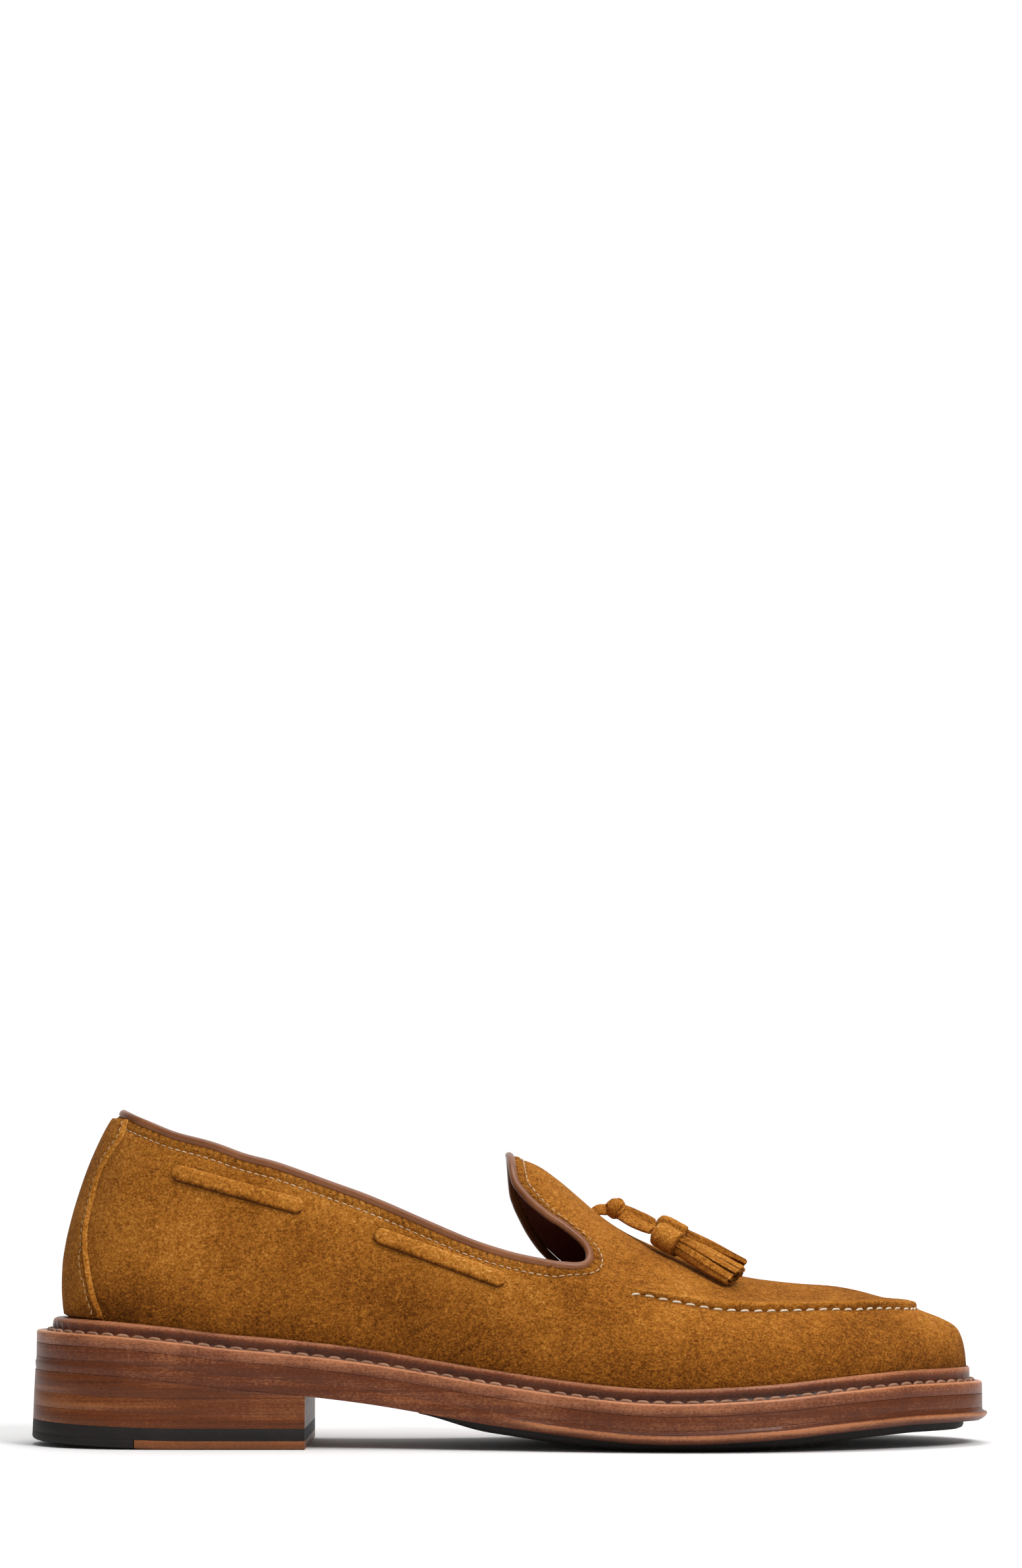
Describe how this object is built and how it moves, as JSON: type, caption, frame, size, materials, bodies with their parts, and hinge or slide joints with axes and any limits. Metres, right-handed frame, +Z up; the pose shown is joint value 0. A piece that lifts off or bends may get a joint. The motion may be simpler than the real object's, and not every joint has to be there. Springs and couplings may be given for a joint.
{
  "type": "tassel loafer",
  "caption": "Right-foot suede tassel loafer with a raised tongue, bound collar, stitched leather welt, leather sole and stacked heel.",
  "frame": {"origin": "middle of the shoe's overall length and width, on the plane the heel and the forepart stand on", "axes": "+X towards the toe, +Y towards the inner side of the foot, +Z up"},
  "size_m": [0.302, 0.1079, 0.1053],
  "materials": {
    "snuff_suede": "napped golden-brown suede",
    "sole_leather": "stained and polished sole edge",
    "welt_leather": "waxed reddish-brown welt",
    "heel_leather": "stained stacked heel leather",
    "top_piece_leather": "lighter stained heel leather",
    "black_rubber": "matt black rubber",
    "lining_leather": "smooth dark red-brown lining",
    "binding_leather": "smooth brown piping with a soft shine"
  },
  "bodies": {
    "root": {"outsole": "sole_leather", "midsole": "sole_leather", "welt": "welt_leather", "heel_wedge": "heel_leather", "heel_lift_1": "heel_leather", "heel_lift_2": "heel_leather", "heel_rubber_lift": "black_rubber", "top_piece_rubber": "black_rubber", "top_piece_leather": "top_piece_leather", "forepart_rubber": "black_rubber", "insole": "lining_leather", "upper": "snuff_suede", "back_stay": "snuff_suede", "collar_binding": "binding_leather", "side_lace_outer_rear": "snuff_suede", "side_lace_outer_front": "snuff_suede", "side_lace_inner_rear": "snuff_suede", "side_lace_inner_front": "snuff_suede", "tassel_knot": "snuff_suede", "tassel_strand_outer": "snuff_suede", "tassel_strand_inner": "snuff_suede", "tassel_outer": "snuff_suede", "tassel_inner": "snuff_suede"}
  },
  "joints": []
}
